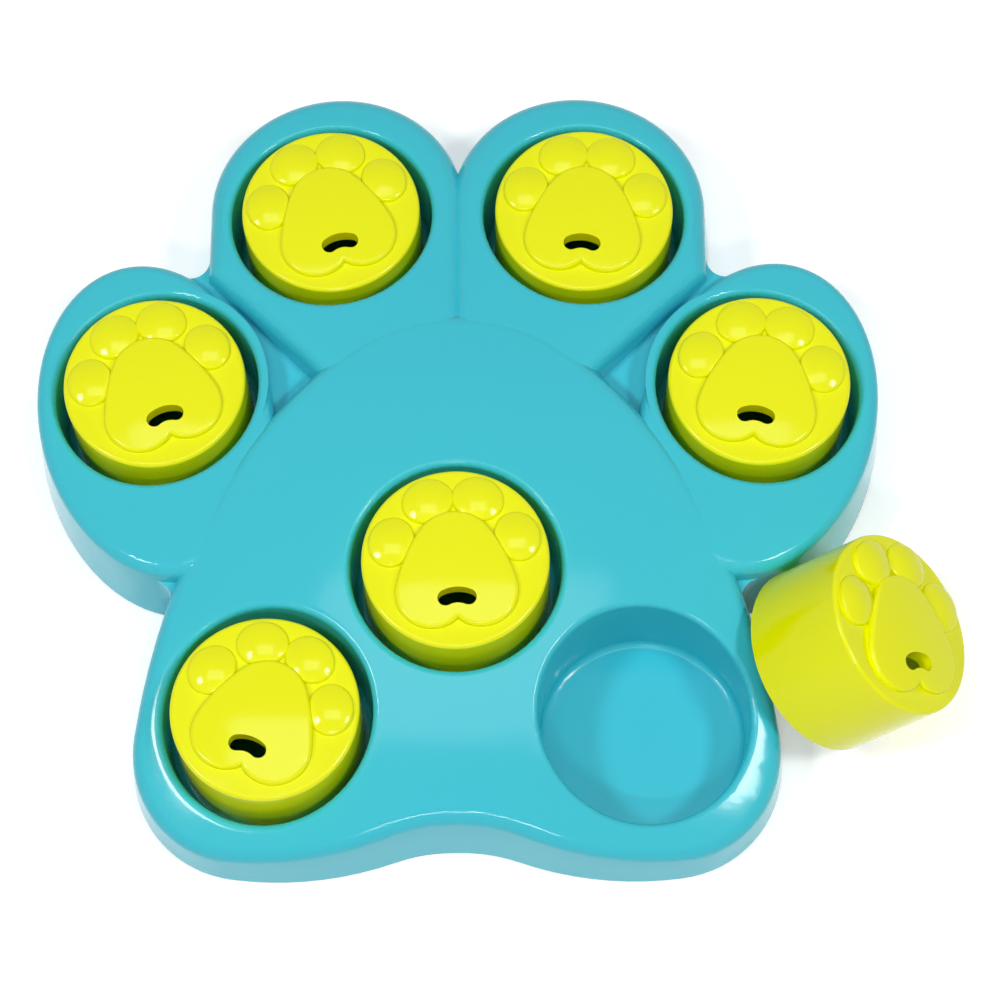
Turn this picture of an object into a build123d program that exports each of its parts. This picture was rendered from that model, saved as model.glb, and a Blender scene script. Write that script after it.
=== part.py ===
"""Paw-shaped puzzle feeder for dogs: a moulded tray with seven round wells and seven lift-out caps.

The tray stands on the plane Z = 0, with +Y towards the toes and +Z up. X = 0 is its plane of symmetry.
Lengths are in millimetres and angles in degrees.
"""

import os
from math import atan2, cos, degrees, radians, sin, sqrt, tan

from build123d import *

# ---------------------------------------------------------------- caps
LID_HEIGHT = 38.3          # from the open rim to the flat of the top
LID_TOP_R = 31.5           # outside, at the top
LID_RIM_R = 32.1           # outside, at the open rim: the side is drafted
LID_WALL = 2.0             # side wall and top
LID_EDGE_R = 1.4           # rounding of the top's outer edge
TOE_BUMP_HEIGHT = 3.2      # of the raised toes of the paw on each top
TOE_BUMP_CROWN_R = 19.0
TOE_BUMP_ROLL = 1.3
PAW_PAD_HEIGHT = 4.0
PAW_PAD_CROWN_R = 150.0
PAW_PAD_ROLL = 1.6
TOE_BUMP_WIDE = 8.9        # half width of a raised toe, along the rim
TOE_BUMP_DEEP = 7.7        # half depth of a raised toe, towards the middle
TOE_BUMP_AT = 22.0         # from the cap's axis to the middle of a raised toe
TOE_BUMP_ANGLES = (-73, -22.5, 22.5, 73)   # from the way the paw points
PAW_PAD_BACK = 16.0        # from the cap's axis to the back of the raised pad
PAW_PAD_ARCS = ((14, 55), (60, 20), (12.5, 133))   # radius and turn, round to the dip at its front
PAW_PAD_FRONT = -21.2
SLOT_ARC_R = 9.0           # centre line of the bean-shaped hole
SLOT_WIDTH = 5.4
SLOT_SPAN = 50             # how far round its arc the hole reaches, without its round ends
SLOT_FRONT = 14.0          # from the cap's axis to the middle of the hole

# ---------------------------------------------------------------- wells
WELL_CLEARANCE = 3.8       # between a cap's rim and the mouth of its well
WELL_DRAFT = 1.5
WELL_WALL = 2.2
WELL_LIP_R = 2.2           # rolled lip of each mouth
LIP_REACH = 3.4            # width of the ring that carries it
LIP_DEPTH = 3.4
LIP_LEVEL = 16.0           # below every mouth
WELL_FLOOR_ROUND = 2.4
WELL_FLOOR_BEVEL = 2.8     # under the floor
FLOOR_THICKNESS = 2.0
FLOOR_LEVEL = 3.0          # top of the floors above the table
MIDDLE_FLOOR_LEVEL = 13.6  # the middle well is shallower
CAP_GAP = 0.3              # a cap stands this far off what carries it
UPPER_TOE_WELL = (44.9, 103.8)
OUTER_TOE_WELL = (104.7, 37.8)
HEEL_WELL = (63.2, -79.8)
MIDDLE_WELL = (0, -31.2)

# ---------------------------------------------------------------- tray
SKIRT_LIFT = 0.8           # the feet hold the skirt this far off the table
SKIRT_DRAFT = 6.0
TRAY_WALL = 2.4
BLANK_HEIGHT = 60.0        # the lobes start this tall, before their crowns are cut
CROWN_REACH = 200.0        # further out than any part of the tray

PAD_BACK = 68.0            # from the origin to the back of the heel pad
PAD_ARCS = ((66.5, 37.6), (160, 26), (256.5, 19.15), (40.3, 89.6), (119.5, 27))  # radius, turn
PAD_NOTCH = -119.2         # the dip between the two heels
PAD_CROWN_R = 450.0
PAD_CROWN_TOP = 46.5
PAD_ROLL = 6.0

UPPER_LOBE_AT = (43, 109)
UPPER_LOBE_R = 48.6
UPPER_LOBE_SIDE = 80.0     # where its outer side turns in towards the pad
UPPER_LOBE_FRONT = 32.0    # its front end, under the pad
UPPER_ROLL = 7.0
OUTER_LOBE_AT = (104.6, 28.1)
OUTER_LOBE_LONG = 63.8
OUTER_LOBE_SHORT = 44.0
OUTER_LOBE_TURN = 15.7
OUTER_ROLL = 4.6
TOE_CROWN_R = 1100.0
TOE_CROWN_Y = 20.0
UPPER_CROWN_TOP = 42.8
OUTER_CROWN_TOP = 41.8     # the outer toes are a little lower

WEB_LEVEL = 29.0           # top of the low floor between the lobes
NOTCH_ROUND = 7.0          # rounding of the skirt where two lobes meet
TOE_NOTCH_Y = 90.3         # centre of that rounding between an upper and an outer toe
PAD_NOTCH_AT = (104, -37.7)   # and between an outer toe and the pad
WEB_TO_TOE = 11.0          # how far along an outer toe the web's corners lie from its middle, across
WEB_IN_PAD = (66, -51)     # its corner under the pad

RIB_THICKNESS = 1.6
RIB_LEVEL = 6.0            # underside of the ribs
FOOT_R = 4.5
FOOT_THICKNESS = 2.8
FOOT_BEVEL = 0.5
SOCKET_DEPTH = 2.0
SOCKET_WALL = 1.6
BOSS_CORE_R = 2.6          # bore that thins the boss over each socket
BOSS_CORE_DEPTH = 8.0
POST_SINK_UPPER = 8.0      # these posts end lower, on the skirt's wall beside them
POST_SINK_HEEL = 5.0
UPPER_FOOT = (43.5, 148.4)
OUTER_FOOT = (113, -13.5)
HEEL_FOOT = (94.2, -110.6)     # all three are mirrored, and one more foot stands at the origin

# ---------------------------------------------------------------- the cap that lies beside the tray
LOOSE_AT = (123.2, -57.2)  # centre of its open rim, which leans on the side of the outer toe
LOOSE_AZIMUTH = 7.9
LOOSE_RISE = 49.6          # of its axis above the table
LOOSE_SPIN = -87.0

# ---------------------------------------------------------------- worked out
WELL_R = LID_RIM_R + WELL_CLEARANCE
SEATED = (Align.CENTER, Align.CENTER, Align.MIN)
NOTCH_REACH = UPPER_LOBE_R - WEB_LEVEL * tan(radians(SKIRT_DRAFT)) + NOTCH_ROUND
UPPER_CROWN = (UPPER_CROWN_TOP, TOE_CROWN_R, TOE_CROWN_Y)
OUTER_CROWN = (OUTER_CROWN_TOP, TOE_CROWN_R, TOE_CROWN_Y)
PAD_CROWN = (PAD_CROWN_TOP, PAD_CROWN_R, 0)
TOP_NOTCH = (0, UPPER_LOBE_AT[1] + sqrt(NOTCH_REACH**2 - UPPER_LOBE_AT[0] ** 2))
TOE_NOTCH = (UPPER_LOBE_AT[0] + NOTCH_REACH, TOE_NOTCH_Y)
NOTCHES = (TOP_NOTCH, TOE_NOTCH, PAD_NOTCH_AT)
UPPER_LEFT_WELL = (-UPPER_TOE_WELL[0], UPPER_TOE_WELL[1])
OUTER_LEFT_WELL = (-OUTER_TOE_WELL[0], OUTER_TOE_WELL[1])
HEEL_LEFT_WELL = (-HEEL_WELL[0], HEEL_WELL[1])
RIB_LINES = (
    (UPPER_TOE_WELL, OUTER_TOE_WELL),
    (UPPER_TOE_WELL, MIDDLE_WELL),
    (OUTER_TOE_WELL, MIDDLE_WELL),
    (HEEL_WELL, MIDDLE_WELL),
)
STANDING_CAPS = (          # node, well, floor and the way its paw points, turned left from +Y
    ("lid_upper_left", UPPER_LEFT_WELL, FLOOR_LEVEL, 14.6),
    ("lid_upper_right", UPPER_TOE_WELL, FLOOR_LEVEL, -3.7),
    ("lid_outer_left", OUTER_LEFT_WELL, FLOOR_LEVEL, 18.4),
    ("lid_outer_right", OUTER_TOE_WELL, FLOOR_LEVEL, -7.6),
    ("lid_middle", MIDDLE_WELL, MIDDLE_FLOOR_LEVEL, 2.7),
    ("lid_heel_left", HEEL_LEFT_WELL, FLOOR_LEVEL, -19.4),
)


def mirrored(places):
    """The same places on the other side of the tray."""
    return [(-x, y) for x, y in places]


def both_sides(right):
    """Parts made for the right-hand side, with their mirror images."""
    return [*right, *(part.mirror(Plane.YZ) for part in right)]


def crown(form, sink=0.0):
    """The ball whose top is a crowned surface, or that surface sunk. Its seam is on the underside."""
    top, radius, y = form
    return Location((0, y, top - radius), (0, 90, 0)) * Sphere(radius - sink)


def pad_outline(inset):
    """The heel pad where its skirt meets the table: tangent arcs from the back round to the notch."""
    with BuildSketch() as outline:
        with BuildLine():
            start = Vector(0, PAD_BACK - inset)
            heading = Vector(-1, 0)
            for radius, turn in PAD_ARCS:
                arc = JernArc(start, heading, radius - inset, turn)
                start = arc @ 1
                heading = arc % 1
            TangentArc(start, (0, PAD_NOTCH + inset), tangent=heading)
            mirror(about=Plane.YZ)
        make_face()
    return outline.sketch


def upper_toe_outline(inset):
    """An upper toe: a round end whose sides run down to the pad."""
    x, y = UPPER_LOBE_AT
    radius = UPPER_LOBE_R - inset
    front = UPPER_LOBE_FRONT + inset
    turn_in = UPPER_LOBE_SIDE - front
    with BuildSketch() as outline:
        with Locations((x, y)):
            Circle(radius)
        with BuildLine():
            Polyline(
                (x - radius, y),
                (x + radius, y),
                (x + radius, UPPER_LOBE_SIDE),
                (x + radius - turn_in, front),
                (x - radius, front),
                close=True,
            )
        make_face()
    return outline.sketch


def outer_toe_outline(inset):
    """An outer toe: a leaning oval."""
    with BuildSketch() as outline:
        with Locations(OUTER_LOBE_AT):
            Ellipse(OUTER_LOBE_SHORT - inset, OUTER_LOBE_LONG - inset, rotation=-OUTER_LOBE_TURN)
    return outline.sketch


def lobe(outline, ball, roll):
    """One lobe: its outline drawn up with draft, its top cut to the ball and its edge rolled, if at all."""
    with BuildPart() as body:
        add(outline)
        extrude(amount=BLANK_HEIGHT, taper=SKIRT_DRAFT)
        add(ball, mode=Mode.INTERSECT)
        if roll:
            fillet(body.faces().filter_by(GeomType.SPHERE).edges(), roll)
    return body.part


def web(inset):
    """The low floor between the lobes, hollowed round at each notch so that it runs into both skirts."""
    with BuildPart() as body:
        with BuildSketch():
            with BuildLine():
                Polyline(
                    TOP_NOTCH,
                    UPPER_LOBE_AT,
                    (UPPER_LOBE_AT[0], TOE_NOTCH_Y),
                    TOE_NOTCH,
                    (OUTER_LOBE_AT[0] + WEB_TO_TOE, OUTER_LOBE_AT[1] + 2 * WEB_TO_TOE),
                    (OUTER_LOBE_AT[0] - WEB_TO_TOE, OUTER_LOBE_AT[1] - 2 * WEB_TO_TOE),
                    PAD_NOTCH_AT,
                    WEB_IN_PAD,
                    (0, WEB_IN_PAD[1]),
                )
                mirror(about=Plane.YZ)
            make_face()
            with Locations(*NOTCHES, *mirrored(NOTCHES)):
                Circle(NOTCH_ROUND + inset, mode=Mode.SUBTRACT)
        extrude(amount=WEB_LEVEL - inset)
    return body.part


def bulk(inset, outer_roll):
    """The tray as one mass, drawn in by the inset on every side."""
    pad = lobe(pad_outline(inset), crown(PAD_CROWN, inset), PAD_ROLL - inset)
    upper_toe = lobe(upper_toe_outline(inset), crown(UPPER_CROWN, inset), UPPER_ROLL - inset)
    outer_toe = lobe(outer_toe_outline(inset), crown(OUTER_CROWN, inset), outer_roll)
    floor = web(inset)
    with BuildPart() as mass:
        add(upper_toe)
        add(outer_toe)
        mirror(about=Plane.YZ)
        add(pad)
        add(floor)
    return mass.part


def well_cone(place, base, grow):
    """A drafted cone about one well's axis, wider than the well by the wall to grow by."""
    foot_r = WELL_R - LID_HEIGHT * tan(radians(WELL_DRAFT)) + grow
    top_r = foot_r + BLANK_HEIGHT * tan(radians(WELL_DRAFT))
    return Pos(*place, base) * Cone(foot_r, top_r, BLANK_HEIGHT, align=SEATED)


def well(place, floor):
    """The space of one well, with a rounded floor."""
    space = well_cone(place, floor, 0)
    return fillet(space.edges().sort_by(Axis.Z)[0], WELL_FLOOR_ROUND)


def lip_recess(place, floor, form):
    """The skin of the crown round one mouth, taken out to make room for its lip."""
    under_lip = crown(form, LIP_DEPTH)
    with BuildPart() as recess:
        with Locations((*place, LIP_LEVEL)):
            Cylinder(WELL_R + LIP_REACH, BLANK_HEIGHT, align=SEATED)
        add(under_lip, mode=Mode.SUBTRACT)
    return recess.part


def lip(place, floor, form):
    """The ring that goes there: flush with the crown outside, and rolled over into the well."""
    recess = lip_recess(place, floor, form)
    top = crown(form)
    space = well(place, floor)
    with BuildPart() as ring:
        add(recess)
        add(top, mode=Mode.INTERSECT)
        add(space, mode=Mode.SUBTRACT)
        mouth = ring.faces().filter_by(GeomType.SPHERE).sort_by(Axis.Z)[-1].edges().sort_by(SortBy.LENGTH)[0]
        fillet(mouth, WELL_LIP_R)
    return ring.part


def cup(place, floor, form):
    """The wall and floor of one well, up to the middle of the crown's thickness."""
    outside = well_cone(place, floor - FLOOR_THICKNESS, WELL_WALL)
    top = crown(form, TRAY_WALL / 2)
    with BuildPart() as wall:
        add(outside)
        chamfer(wall.edges().sort_by(Axis.Z)[0], WELL_FLOOR_BEVEL)
        add(top, mode=Mode.INTERSECT)
    return wall.part


def boss(place, form, sink):
    """The post over one foot, up to the middle of the crown's thickness or sunk further."""
    top = crown(form, TRAY_WALL / 2 + sink)
    with BuildPart() as post:
        with Locations(place):
            Cylinder(FOOT_R + SOCKET_WALL, BLANK_HEIGHT, align=SEATED)
        add(top, mode=Mode.INTERSECT)
    return post.part


def rib(start, end):
    """A low wall under the web, from one well's axis to another's."""
    length = (Vector(*end) - Vector(*start)).length
    middle = (Vector(*start) + Vector(*end)) / 2
    turn = degrees(atan2(end[1] - start[1], end[0] - start[0]))
    with BuildPart() as wall:
        with Locations(Location((middle.X, middle.Y, RIB_LEVEL), (0, 0, turn))):
            Box(length, RIB_THICKNESS, WEB_LEVEL - TRAY_WALL / 2 - RIB_LEVEL, align=SEATED)
    return wall.part


def raised(outline, height, crown_r, roll):
    """A raised form with a crowned top and a rolled edge, standing on the sketch's plane."""
    ball = crown((height, crown_r, 0))
    with BuildPart() as form:
        add(outline)
        extrude(amount=height)
        add(ball, mode=Mode.INTERSECT)
        fillet(form.faces().filter_by(GeomType.SPHERE).edges(), roll)
    return form.part


def paw_pad_outline():
    """The paw's pad on a cap: tangent arcs from its top round to the dip at its front."""
    with BuildSketch() as outline:
        with BuildLine():
            start = Vector(0, PAW_PAD_BACK)
            heading = Vector(-1, 0)
            for radius, turn in PAW_PAD_ARCS:
                arc = JernArc(start, heading, radius, turn)
                start = arc @ 1
                heading = arc % 1
            TangentArc(start, (0, PAW_PAD_FRONT), tangent=heading)
            mirror(about=Plane.YZ)
        make_face()
    return outline.sketch


def toe_bump_outline():
    """One raised toe of the paw on a cap."""
    with BuildSketch() as outline:
        Ellipse(TOE_BUMP_WIDE, TOE_BUMP_DEEP)
    return outline.sketch


def cap():
    """A cap on its own frame: open rim at Z = 0, with the paw on its top pointing to +Y."""
    toe = raised(toe_bump_outline(), TOE_BUMP_HEIGHT, TOE_BUMP_CROWN_R, TOE_BUMP_ROLL)
    pad = raised(paw_pad_outline(), PAW_PAD_HEIGHT, PAW_PAD_CROWN_R, PAW_PAD_ROLL)
    with BuildPart() as form:
        Cone(LID_RIM_R, LID_TOP_R, LID_HEIGHT, align=SEATED)
        fillet(form.edges().sort_by(Axis.Z)[-1], LID_EDGE_R)
        offset(amount=-LID_WALL, openings=form.faces().sort_by(Axis.Z)[0])
        for angle in TOE_BUMP_ANGLES:
            bearing = radians(angle)
            reach = (TOE_BUMP_AT * sin(bearing), TOE_BUMP_AT * cos(bearing), LID_HEIGHT)
            with Locations(Location(reach, (0, 0, -angle))):
                add(toe)
        with Locations((0, 0, LID_HEIGHT)):
            add(pad)
        with BuildSketch(Plane.XY.offset(LID_HEIGHT - 2 * LID_WALL)):
            with Locations((0, -SLOT_FRONT - SLOT_ARC_R)):
                with BuildLine():
                    bow = CenterArc((0, 0), SLOT_ARC_R, 90 - SLOT_SPAN / 2, SLOT_SPAN)
                SlotArc(bow, SLOT_WIDTH)
        extrude(amount=2 * LID_WALL + PAW_PAD_HEIGHT, mode=Mode.SUBTRACT)
    return form.part


# ---------------------------------------------------------------- the tray
side_wells = (
    (UPPER_TOE_WELL, FLOOR_LEVEL, UPPER_CROWN),
    (OUTER_TOE_WELL, FLOOR_LEVEL, OUTER_CROWN),
    (HEEL_WELL, FLOOR_LEVEL, PAD_CROWN),
)
middle_well = (MIDDLE_WELL, MIDDLE_FLOOR_LEVEL, PAD_CROWN)
side_feet = (
    (UPPER_FOOT, UPPER_CROWN, POST_SINK_UPPER),
    (OUTER_FOOT, OUTER_CROWN, 0),
    (HEEL_FOOT, PAD_CROWN, POST_SINK_HEEL),
)
right_feet = [each[0] for each in side_feet]
feet = [*right_feet, *mirrored(right_feet), (0, 0)]

shell = bulk(0, OUTER_ROLL)
hollow = bulk(TRAY_WALL, 0)
cups = both_sides([cup(*each) for each in side_wells]) + [cup(*middle_well)]
posts = both_sides([boss(*each) for each in side_feet])
ribs = both_sides([rib(start, end) for start, end in RIB_LINES])
spaces = both_sides([well(place, floor) for place, floor, form in side_wells]) + [well(*middle_well[:2])]
recesses = both_sides([lip_recess(*each) for each in side_wells]) + [lip_recess(*middle_well)]
lips = both_sides([lip(*each) for each in side_wells]) + [lip(*middle_well)]

middle_post = Cylinder(FOOT_R + SOCKET_WALL, MIDDLE_FLOOR_LEVEL - FLOOR_THICKNESS / 2, align=SEATED)

moulding = shell - hollow
for wall in [*cups, *ribs, *posts, middle_post]:
    moulding += wall
for space in [*spaces, *recesses]:
    moulding -= space
for ring in lips:
    moulding += ring
for place in feet:
    moulding -= Pos(*place) * Cylinder(FOOT_R, SKIRT_LIFT + SOCKET_DEPTH, align=SEATED)
    moulding -= Pos(*place) * Cylinder(BOSS_CORE_R, SKIRT_LIFT + SOCKET_DEPTH + BOSS_CORE_DEPTH, align=SEATED)

with BuildPart() as tray:
    add(moulding)
    Box(2 * CROWN_REACH, 2 * CROWN_REACH, 2 * SKIRT_LIFT, mode=Mode.SUBTRACT)
tray.part.label = "tray"

# ---------------------------------------------------------------- the caps
rise = radians(LOOSE_RISE)
azimuth = radians(LOOSE_AZIMUTH)
leaning = Plane(
    origin=(*LOOSE_AT, LID_RIM_R * cos(rise)),
    x_dir=(-sin(azimuth), cos(azimuth), 0),
    z_dir=(cos(rise) * cos(azimuth), cos(rise) * sin(azimuth), sin(rise)),
)
seats = {"lid_loose": leaning.location * Rotation(0, 0, LOOSE_SPIN)}
for node, place, floor, spin in STANDING_CAPS:
    seats[node] = Location((*place, floor + CAP_GAP), (0, 0, spin))

one_cap = cap()
os.makedirs("parts", exist_ok=True)
export_step(tray.part, "parts/tray.step")
for node, seat in seats.items():
    with BuildPart() as lid:
        with Locations(seat):
            add(one_cap)
    lid.part.label = node
    export_step(lid.part, f"parts/{node}.step")

# ---------------------------------------------------------------- the feet
for count, place in enumerate(feet, start=1):
    with BuildPart() as foot:
        with Locations(place):
            Cylinder(FOOT_R, FOOT_THICKNESS, align=SEATED)
        chamfer(foot.edges().group_by(Axis.Z)[0], FOOT_BEVEL)
    foot.part.label = f"foot_{count}"
    export_step(foot.part, f"parts/foot_{count}.step")
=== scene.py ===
"""Looks of the paw-shaped puzzle feeder: glossy mouldings on a pale table, under soft studio lamps.

Lengths are in metres and angles in degrees. +Y points to the toes of the paw and +Z up from the
table.
"""

from math import radians

import bmesh
import bpy
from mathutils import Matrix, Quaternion, Vector


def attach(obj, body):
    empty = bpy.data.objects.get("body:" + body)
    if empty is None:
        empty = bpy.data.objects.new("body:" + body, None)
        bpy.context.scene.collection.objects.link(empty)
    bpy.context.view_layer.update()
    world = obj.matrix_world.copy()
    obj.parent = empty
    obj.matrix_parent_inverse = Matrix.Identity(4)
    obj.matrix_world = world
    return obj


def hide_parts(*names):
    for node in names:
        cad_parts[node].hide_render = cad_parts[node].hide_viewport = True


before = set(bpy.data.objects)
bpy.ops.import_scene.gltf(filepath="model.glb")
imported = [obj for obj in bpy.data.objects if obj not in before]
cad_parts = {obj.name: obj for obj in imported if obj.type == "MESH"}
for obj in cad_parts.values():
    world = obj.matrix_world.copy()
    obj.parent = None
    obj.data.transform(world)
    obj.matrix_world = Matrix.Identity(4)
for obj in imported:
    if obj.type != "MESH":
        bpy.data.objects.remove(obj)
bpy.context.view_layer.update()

# ---------------------------------------------------------------- pieces
CAPS = ("upper_left", "upper_right", "outer_left", "outer_right", "middle", "heel_left", "loose")
FEET = tuple(f"foot_{count}" for count in range(1, 8))
WELD = 2e-6                # vertices nearer than this are one
SOFT_EDGE = 31.0           # a crease flatter than this is shaded as one rounded surface

# ---------------------------------------------------------------- finishes
WHITE = (1, 1, 1, 1)
TEAL = (0.048, 0.55, 0.665, 1)
TEAL_DEEP = (0.042, 0.525, 0.64, 1)
LIME = (0.86, 0.875, 0.0, 1)
LIME_DEEP = (0.83, 0.86, 0.0, 1)
RUBBER = (0.02, 0.14, 0.17, 1)
RUBBER_DEEP = (0.012, 0.10, 0.13, 1)
TABLE_WHITE = (0.92, 0.925, 0.93, 1)

TRAY_ROUGHNESS = 0.08
CAP_ROUGHNESS = 0.09
FOOT_ROUGHNESS = 0.62
TABLE_ROUGHNESS = 0.55
PLASTIC_HAZE = 0.04        # the roughness that the grain adds
RUBBER_HAZE = 0.2
TRAY_SCALES = (9.0, 420.0)     # of the clouds and of the grain
CAP_SCALES = (14.0, 520.0)
FOOT_SCALES = (60.0, 2400.0)
TRAY_RELIEF = 0.0004       # how high the waviness stands
CAP_RELIEF = 0.0003
FOOT_RELIEF = 0.0002
PLASTIC_IOR = 1.46
RUBBER_IOR = 1.5
MOULDED_SPECULAR = 0.28
TABLE_SPECULAR = 0.0
CLOUD_DETAIL = 2.0
GRAIN_DETAIL = 3.0
GRAIN_SHARE = 0.12         # how much of the grain goes into the waviness beside the clouds
BUMP_STRENGTH = 0.4

# ---------------------------------------------------------------- studio
CAMERA_AT = (0.01870, -0.34215, 0.91678)
CAMERA_AIM = (0.01489, -0.00648, 0.04160)
CAMERA_ROLL = -0.824
SENSOR = 36.0              # sensor and lens are in millimetres
LENS = 99.2
TABLE_SIZE = 8.0
TABLE_DROP = 0.0002        # the table lies this far under the feet
TABLE_GLOW = (0.34, 0.78)  # what the lens and reflections see the table brighter by, near and far
GLOW_REACH = (0.35, 1.60)  # where the table goes from one to the other
SKY_LIGHT = 0.20           # what the surroundings give to a surface
SKY_SEEN = 1.0             # what the lens and reflections see of them
LAMP_AIM = (0.0, 0.0, 0.03)
LAMPS = (                  # name, place, width, height, watts
    ("overhead_panel", (0.0, 0.0, 1.70), 1.0, 0.6, 5.8),
    ("left_softbox", (-0.85, -0.28, 1.42), 0.30, 0.24, 8.0),
    ("right_softbox", (0.85, -0.28, 1.42), 0.30, 0.24, 7.4),
    ("front_strip", (0.0, -0.95, 1.25), 0.28, 0.08, 3.4),
)


def link(tree, start, end):
    """Joins an output socket to an input socket."""
    tree.links.new(start, end)


def node(tree, kind, **settings):
    """A new shader node with its settings."""
    made = tree.nodes.new(kind)
    for name, value in settings.items():
        setattr(made, name, value)
    return made


def add_object(name, data):
    """A new object in the scene."""
    made = bpy.data.objects.new(name, data)
    bpy.context.scene.collection.objects.link(made)
    return made


def turn_to(place, target):
    """The turn with which a lamp or camera at the place looks at the target."""
    return (Vector(target) - Vector(place)).to_track_quat("-Z", "Y")


def noise(tree, place, scale, detail):
    """A noise over the object's own coordinates, at the scale that the group is given."""
    made = node(tree, "ShaderNodeTexNoise")
    made.inputs["Detail"].default_value = detail
    link(tree, place.outputs["Object"], made.inputs["Vector"])
    link(tree, scale, made.inputs["Scale"])
    return made


def finish_group():
    """The skin of a moulded piece: faintly cloudy in colour and gloss, and shallowly wavy."""
    group = bpy.data.node_groups.new("moulded_skin", "ShaderNodeTree")
    face = group.interface
    for name, kind in (
        ("Colour", "NodeSocketColor"),
        ("Deep Colour", "NodeSocketColor"),
        ("Roughness", "NodeSocketFloat"),
        ("Haze", "NodeSocketFloat"),
        ("Cloud Scale", "NodeSocketFloat"),
        ("Grain Scale", "NodeSocketFloat"),
    ):
        face.new_socket(name=name, in_out="INPUT", socket_type=kind)
    for name, kind in (
        ("Colour", "NodeSocketColor"),
        ("Roughness", "NodeSocketFloat"),
        ("Height", "NodeSocketFloat"),
    ):
        face.new_socket(name=name, in_out="OUTPUT", socket_type=kind)
    given = node(group, "NodeGroupInput")
    result = node(group, "NodeGroupOutput")
    place = node(group, "ShaderNodeTexCoord")
    clouds = noise(group, place, given.outputs["Cloud Scale"], CLOUD_DETAIL)
    grain = noise(group, place, given.outputs["Grain Scale"], GRAIN_DETAIL)

    tint = node(group, "ShaderNodeMix", data_type="RGBA")
    link(group, clouds.outputs["Fac"], tint.inputs["Factor"])
    link(group, given.outputs["Colour"], tint.inputs["A"])
    link(group, given.outputs["Deep Colour"], tint.inputs["B"])
    link(group, tint.outputs["Result"], result.inputs["Colour"])

    haze = node(group, "ShaderNodeMath", operation="MULTIPLY")
    link(group, grain.outputs["Fac"], haze.inputs[0])
    link(group, given.outputs["Haze"], haze.inputs[1])
    gloss = node(group, "ShaderNodeMath", operation="ADD")
    link(group, given.outputs["Roughness"], gloss.inputs[0])
    link(group, haze.outputs["Value"], gloss.inputs[1])
    link(group, gloss.outputs["Value"], result.inputs["Roughness"])

    relief = node(group, "ShaderNodeMath", operation="MULTIPLY_ADD")
    relief.inputs[1].default_value = GRAIN_SHARE
    link(group, grain.outputs["Fac"], relief.inputs[0])
    link(group, clouds.outputs["Fac"], relief.inputs[2])
    link(group, relief.outputs["Value"], result.inputs["Height"])
    return group


def moulded_material(name, colours, roughness, haze, scales, relief, ior):
    """A material for one kind of moulding, with the shared skin."""
    material = bpy.data.materials.new(name)
    material.use_nodes = True
    tree = material.node_tree
    shader = tree.nodes["Principled BSDF"]
    shader.inputs["IOR"].default_value = ior
    shader.inputs["Specular IOR Level"].default_value = MOULDED_SPECULAR
    skin = node(tree, "ShaderNodeGroup", node_tree=moulded_skin)
    skin.inputs["Colour"].default_value = colours[0]
    skin.inputs["Deep Colour"].default_value = colours[1]
    skin.inputs["Roughness"].default_value = roughness
    skin.inputs["Haze"].default_value = haze
    skin.inputs["Cloud Scale"].default_value = scales[0]
    skin.inputs["Grain Scale"].default_value = scales[1]
    bump = node(tree, "ShaderNodeBump")
    bump.inputs["Strength"].default_value = BUMP_STRENGTH
    bump.inputs["Distance"].default_value = relief
    link(tree, skin.outputs["Colour"], shader.inputs["Base Color"])
    link(tree, skin.outputs["Roughness"], shader.inputs["Roughness"])
    link(tree, skin.outputs["Height"], bump.inputs["Height"])
    link(tree, bump.outputs["Normal"], shader.inputs["Normal"])
    return material


def moulding(cad_node, name, body, material):
    """The smooth skin of one piece, over the solid that it stands for."""
    form = bmesh.new()
    form.from_mesh(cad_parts[cad_node].data)
    bmesh.ops.remove_doubles(form, verts=form.verts, dist=WELD)
    for face in form.faces:
        face.smooth = True
        face.material_index = 0
    for edge in form.edges:
        edge.smooth = len(edge.link_faces) == 2 and edge.calc_face_angle() < radians(SOFT_EDGE)
    mesh = bpy.data.meshes.new(name)
    form.to_mesh(mesh)
    form.free()
    mesh.materials.append(material)
    piece = add_object(name, mesh)
    even = piece.modifiers.new("even_shading", "WEIGHTED_NORMAL")
    even.keep_sharp = True
    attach(piece, body)
    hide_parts(cad_node)


def lens_or_mirror(tree):
    """1 for what the lens, a reflection or glass sees, and 0 for what lights a surface."""
    path = node(tree, "ShaderNodeLightPath")
    mirrored = node(tree, "ShaderNodeMath", operation="MAXIMUM")
    link(tree, path.outputs["Is Glossy Ray"], mirrored.inputs[0])
    link(tree, path.outputs["Is Transmission Ray"], mirrored.inputs[1])
    seen = node(tree, "ShaderNodeMath", operation="MAXIMUM")
    link(tree, path.outputs["Is Camera Ray"], seen.inputs[0])
    link(tree, mirrored.outputs["Value"], seen.inputs[1])
    return seen


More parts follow.
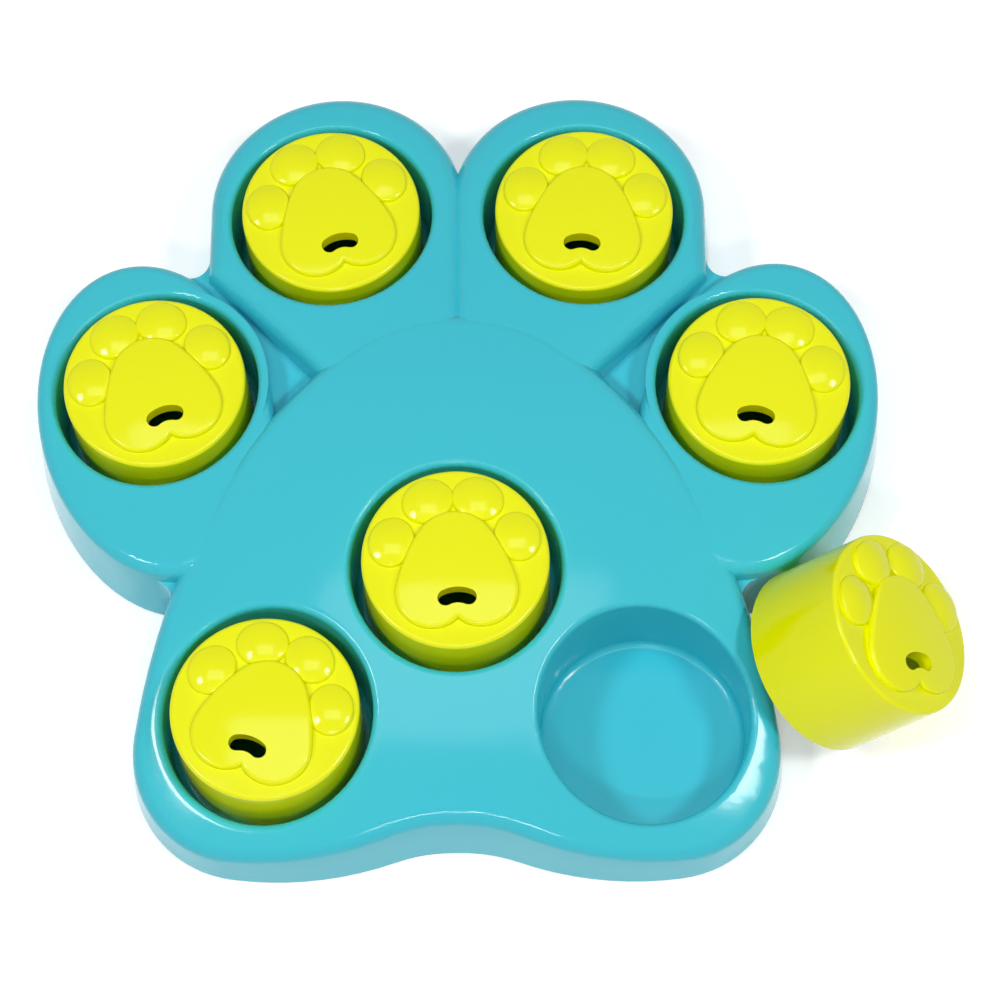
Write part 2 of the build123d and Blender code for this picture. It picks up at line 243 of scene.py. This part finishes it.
def make_table():
    """A plain white table under the feeder, which keeps its shadow."""
    form = bmesh.new()
    bmesh.ops.create_grid(form, x_segments=1, y_segments=1, size=TABLE_SIZE / 2)
    bmesh.ops.translate(form, verts=form.verts, vec=(0, 0, -TABLE_DROP))
    mesh = bpy.data.meshes.new("table")
    form.to_mesh(mesh)
    form.free()
    material = bpy.data.materials.new("table_white")
    material.use_nodes = True
    tree = material.node_tree
    shader = tree.nodes["Principled BSDF"]
    shader.inputs["Base Color"].default_value = TABLE_WHITE
    shader.inputs["Roughness"].default_value = TABLE_ROUGHNESS
    shader.inputs["Specular IOR Level"].default_value = TABLE_SPECULAR
    seen = lens_or_mirror(tree)

    place = node(tree, "ShaderNodeTexCoord")
    away = node(tree, "ShaderNodeVectorMath", operation="LENGTH")
    level = node(tree, "ShaderNodeMapRange", interpolation_type="SMOOTHSTEP")
    level.inputs["From Min"].default_value = GLOW_REACH[0]
    level.inputs["From Max"].default_value = GLOW_REACH[1]
    level.inputs["To Min"].default_value = TABLE_GLOW[0]
    level.inputs["To Max"].default_value = TABLE_GLOW[1]
    glow = node(tree, "ShaderNodeEmission")
    glow.inputs["Color"].default_value = WHITE
    link(tree, place.outputs["Object"], away.inputs["Vector"])
    link(tree, away.outputs["Value"], level.inputs["Value"])
    link(tree, level.outputs["Result"], glow.inputs["Strength"])

    both = node(tree, "ShaderNodeAddShader")
    choice = node(tree, "ShaderNodeMixShader")
    link(tree, shader.outputs["BSDF"], both.inputs[0])
    link(tree, glow.outputs["Emission"], both.inputs[1])
    link(tree, seen.outputs["Value"], choice.inputs["Fac"])
    link(tree, shader.outputs["BSDF"], choice.inputs[1])
    link(tree, both.outputs["Shader"], choice.inputs[2])
    link(tree, choice.outputs["Shader"], tree.nodes["Material Output"].inputs["Surface"])
    mesh.materials.append(material)
    table = add_object("table", mesh)


def make_sky():
    """Even surroundings that the lens and reflections see as pure white."""
    world = bpy.data.worlds.new("studio")
    bpy.context.scene.world = world
    world.use_nodes = True
    tree = world.node_tree
    sky = tree.nodes["Background"]
    sky.inputs["Color"].default_value = WHITE
    seen = lens_or_mirror(tree)
    level = node(tree, "ShaderNodeMapRange")
    level.inputs["To Min"].default_value = SKY_LIGHT
    level.inputs["To Max"].default_value = SKY_SEEN
    link(tree, seen.outputs["Value"], level.inputs["Value"])
    link(tree, level.outputs["Result"], sky.inputs["Strength"])


def make_lamps():
    """The soft panels that light the feeder."""
    for name, place, width, height, watts in LAMPS:
        light = bpy.data.lights.new(name, "AREA")
        light.shape = "RECTANGLE"
        light.size = width
        light.size_y = height
        light.energy = watts
        lamp = add_object(name, light)
        lamp.location = place
        lamp.rotation_mode = "QUATERNION"
        lamp.rotation_quaternion = turn_to(place, LAMP_AIM)


def make_camera():
    """The camera, above and in front of the paw's heel."""
    data = bpy.data.cameras.new("camera")
    data.sensor_width = SENSOR
    data.lens = LENS
    camera = add_object("camera", data)
    camera.location = CAMERA_AT
    camera.rotation_mode = "QUATERNION"
    level = turn_to(CAMERA_AT, CAMERA_AIM)
    camera.rotation_quaternion = level @ Quaternion((0, 0, 1), radians(CAMERA_ROLL))
    bpy.context.scene.camera = camera


moulded_skin = finish_group()
tray_plastic = moulded_material(
    "teal_plastic", (TEAL, TEAL_DEEP), TRAY_ROUGHNESS, PLASTIC_HAZE, TRAY_SCALES, TRAY_RELIEF,
    PLASTIC_IOR,
)
cap_plastic = moulded_material(
    "lime_plastic", (LIME, LIME_DEEP), CAP_ROUGHNESS, PLASTIC_HAZE, CAP_SCALES, CAP_RELIEF,
    PLASTIC_IOR,
)
foot_rubber = moulded_material(
    "foot_rubber", (RUBBER, RUBBER_DEEP), FOOT_ROUGHNESS, RUBBER_HAZE, FOOT_SCALES, FOOT_RELIEF,
    RUBBER_IOR,
)

moulding("tray", "tray_moulding", "tray", tray_plastic)
for cap in CAPS:
    moulding(f"lid_{cap}", f"cap_{cap}", f"cap_{cap}", cap_plastic)
for foot in FEET:
    moulding(foot, f"rubber_{foot}", "tray", foot_rubber)

make_table()
make_sky()
make_lamps()
make_camera()
bpy.context.scene.view_settings.view_transform = "Standard"
